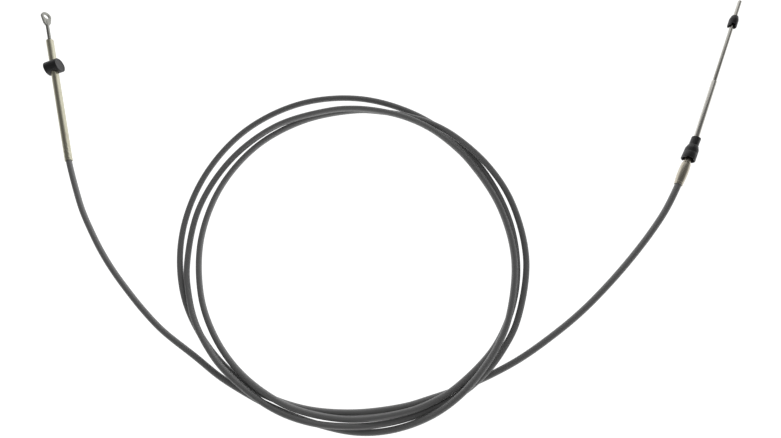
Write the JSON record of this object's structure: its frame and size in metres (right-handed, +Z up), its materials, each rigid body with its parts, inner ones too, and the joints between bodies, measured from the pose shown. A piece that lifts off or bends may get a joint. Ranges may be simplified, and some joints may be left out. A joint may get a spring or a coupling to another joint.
{
  "type": "throttle and shift cable",
  "caption": "Push-pull control cable in loose round turns, with a flat eye and barrel at one end and a snap-in hub, swivel tube and sliding rod at the other.",
  "frame": {"origin": "on the floor, midway between the cable's two ends, under the middle of the box around the end fittings", "axes": "+Z up; +X from the engine end towards the control end; +Y from the coil towards the ends"},
  "size_m": [0.9816, 0.5918, 0.0246],
  "materials": {
    "jacket": "smooth satin extruded jacket, neutral grey",
    "zinc": "yellow zinc plate, dulled",
    "rod_steel": "drawn steel rod",
    "stainless": "polished stainless tube",
    "black_plastic": "moulded, slightly glossy"
  },
  "bodies": {
    "conduit": {"casing": "jacket", "engine_tube": "zinc", "ferrule": "zinc", "snap_hub": "black_plastic"},
    "barrel": {"barrel": "black_plastic"},
    "engine_rod": {"engine_rod": "rod_steel"},
    "sleeve": {"swivel_sleeve": "stainless"},
    "control_rod": {"control_rod": "rod_steel", "snap_terminal": "black_plastic"}
  },
  "joints": [
    {"name": "barrel_turn", "type": "hinge", "parent": "conduit", "child": "barrel", "pos_m": [-0.46336, 0.06094, 0.01076], "axis": [-0.2671, 0.963, 0.0374], "continuous": true},
    {"name": "engine_rod_slide", "type": "slide", "parent": "conduit", "child": "engine_rod", "axis": [-0.2671, 0.963, 0.0374], "range_m": [0, 0.076]},
    {"name": "sleeve_swivel", "type": "hinge", "parent": "conduit", "child": "sleeve", "pos_m": [0.40922, -0.09463, 0.00806], "axis": [0.0058, 0.0121, 0.9999], "range_deg": [-11.1, 4.9]},
    {"name": "control_rod_slide", "type": "slide", "parent": "sleeve", "child": "control_rod", "axis": [0.3826, 0.9238, -0.0134], "range_m": [-0.076, 0]}
  ],
  "couplings": [
    {"joint": "engine_rod_slide", "follows": "control_rod_slide", "ratio": -1}
  ]
}
